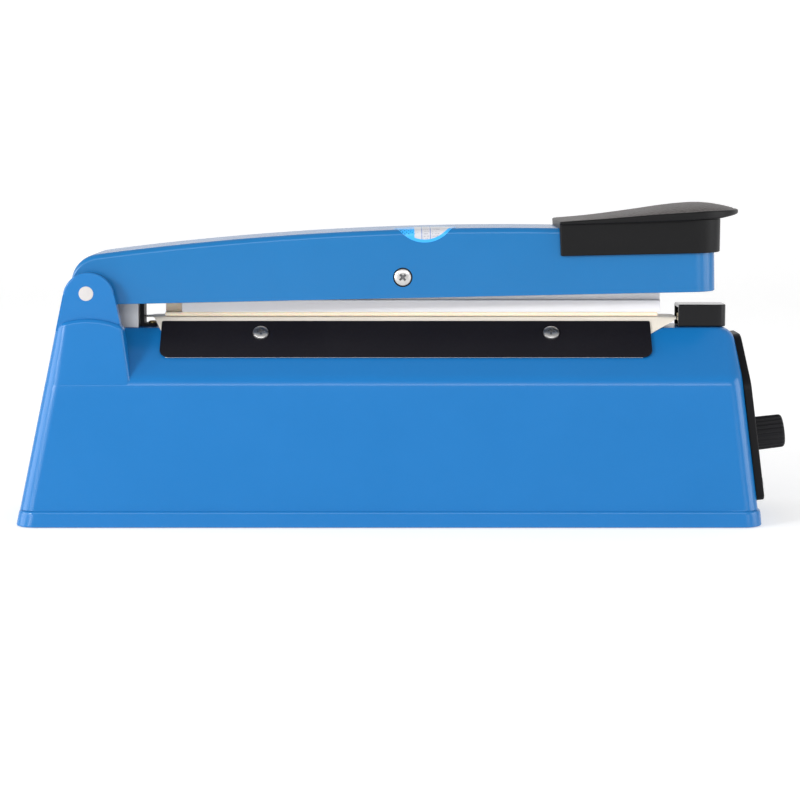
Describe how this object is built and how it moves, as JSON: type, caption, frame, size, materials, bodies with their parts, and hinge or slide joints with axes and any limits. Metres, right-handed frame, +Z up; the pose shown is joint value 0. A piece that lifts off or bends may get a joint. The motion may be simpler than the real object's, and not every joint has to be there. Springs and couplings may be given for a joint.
{
  "type": "impulse heat sealer",
  "caption": "Hand-pressed impulse heat sealer: ridged casing with clamped heating element, hinged pressing arm with handle pad, timer knob and cord inlet.",
  "frame": {"origin": "middle of the footprint on the surface the feet stand on", "axes": "+X along the object from the hinge end to the control end, +Y across it away from the operator's side, +Z up"},
  "size_m": [0.3204, 0.08, 0.132],
  "materials": {
    "casing_blue": "satin moulded blue plastic",
    "arm_blue": "satin moulded blue plastic",
    "tray_black": "black powder coat",
    "rubber_black": "moulded rubber",
    "zinc_steel": "zinc plated",
    "bright_screw": "bright nickel plated",
    "spring_steel": "drawn wire",
    "aluminium": "as extruded",
    "bar_white": "pale satin anodised",
    "silicone_cream": "silicone",
    "ptfe_cloth": "coated glass cloth",
    "glass_tape": "woven glass tape",
    "element_alloy": "flat resistance ribbon",
    "strip_black": "satin black coat",
    "moulded_black": "moulded",
    "gloss_black": "glossy moulded",
    "panel_black": "fine textured",
    "knob_black": "fluted",
    "grip_black": "smooth sides, pebbled top",
    "pin_ivory": "nylon",
    "ceramic_white": "unglazed",
    "brass": "turned",
    "lamp_red": "diffused lamp",
    "board_green": "circuit board",
    "relay_blue": "moulded",
    "capacitor_sleeve": "shrink sleeve",
    "connector_green": "moulded",
    "core_steel": "varnished laminations",
    "coil_wrap": "varnished tape over copper",
    "lead_brown": "insulated wire",
    "lead_white": "heat resistant sleeve",
    "lead_red": "insulated wire",
    "sticker_film": "printed film"
  },
  "bodies": {
    "base": {"casing": "casing_blue", "base_tray": "tray_black", "rubber_feet": "rubber_black", "base_screws": "zinc_steel", "cord_gland": "moulded_black", "hinge_bracket": "zinc_steel", "bracket_screws": "zinc_steel", "hinge_pin": "pin_ivory", "arm_return_spring": "spring_steel", "jaw_rail": "aluminium", "rail_screws": "zinc_steel", "insulation_tape": "glass_tape", "heating_element": "element_alloy", "ptfe_cloth": "ptfe_cloth", "clamp_strip_near": "strip_black", "clamp_strip_far": "strip_black", "strip_screws": "bright_screw", "rear_terminal": "moulded_black", "rear_terminal_screw": "brass", "front_terminal_block": "ceramic_white", "front_block_screw": "brass", "tension_spring": "spring_steel", "terminal_cover": "gloss_black", "control_panel": "panel_black", "panel_screws": "zinc_steel", "indicator_lamp": "lamp_red", "potentiometer": "zinc_steel", "pot_nut": "bright_screw", "timer_board": "board_green", "board_standoffs": "brass", "board_screws": "zinc_steel", "relay": "relay_blue", "board_capacitors": "capacitor_sleeve", "board_connectors": "connector_green", "transformer_core": "core_steel", "transformer_coil": "coil_wrap", "transformer_bracket": "zinc_steel", "transformer_screws": "zinc_steel", "micro_switch": "moulded_black", "switch_bracket": "zinc_steel", "mains_leads": "lead_brown", "jaw_leads": "lead_white", "control_leads": "lead_red"},
    "arm": {"arm_shell": "arm_blue", "handle_grip": "grip_black", "handle_screws": "zinc_steel", "jaw_bolt": "bright_screw", "jaw_bolt_nut": "zinc_steel", "bolt_spacers": "pin_ivory", "switch_adjusting_screw": "zinc_steel", "inspection_sticker": "sticker_film"},
    "pressure_jaw": {"pressure_bar": "bar_white", "silicone_strip": "silicone_cream"},
    "knob": {"timer_knob": "knob_black", "pot_shaft": "aluminium"},
    "push_rod": {"switch_push_rod": "pin_ivory"},
    "take_up": {"tension_hook": "brass"}
  },
  "joints": [
    {"name": "arm_hinge", "type": "hinge", "parent": "base", "child": "arm", "pos_m": [-0.1309, 0, 0.0952], "axis": [0, -1, 0], "range_deg": [0, 50], "stiffness_Nm_per_rad": 0.6, "springref_deg": 25.55, "deforming": ["arm_return_spring"]},
    {"name": "jaw_rock", "type": "hinge", "parent": "arm", "child": "pressure_jaw", "pos_m": [-0.0013, 0, 0.10154], "axis": [0, -1, 0], "range_deg": [-0.1, 0.1]},
    {"name": "knob_turn", "type": "hinge", "parent": "base", "child": "knob", "pos_m": [0.14161, 0, 0.0334], "axis": [0.9931, 0, 0.117], "range_deg": [-140, 140]},
    {"name": "switch_press", "type": "slide", "parent": "base", "child": "push_rod", "axis": [0, 0, -1], "range_m": [0, 0.0015], "stiffness_N_per_m": 400, "springref_m": -0.001},
    {"name": "element_take_up", "type": "slide", "parent": "base", "child": "take_up", "axis": [1, 0, 0], "range_m": [0, 0.001], "stiffness_N_per_m": 1500, "deforming": ["heating_element", "tension_spring"]}
  ]
}
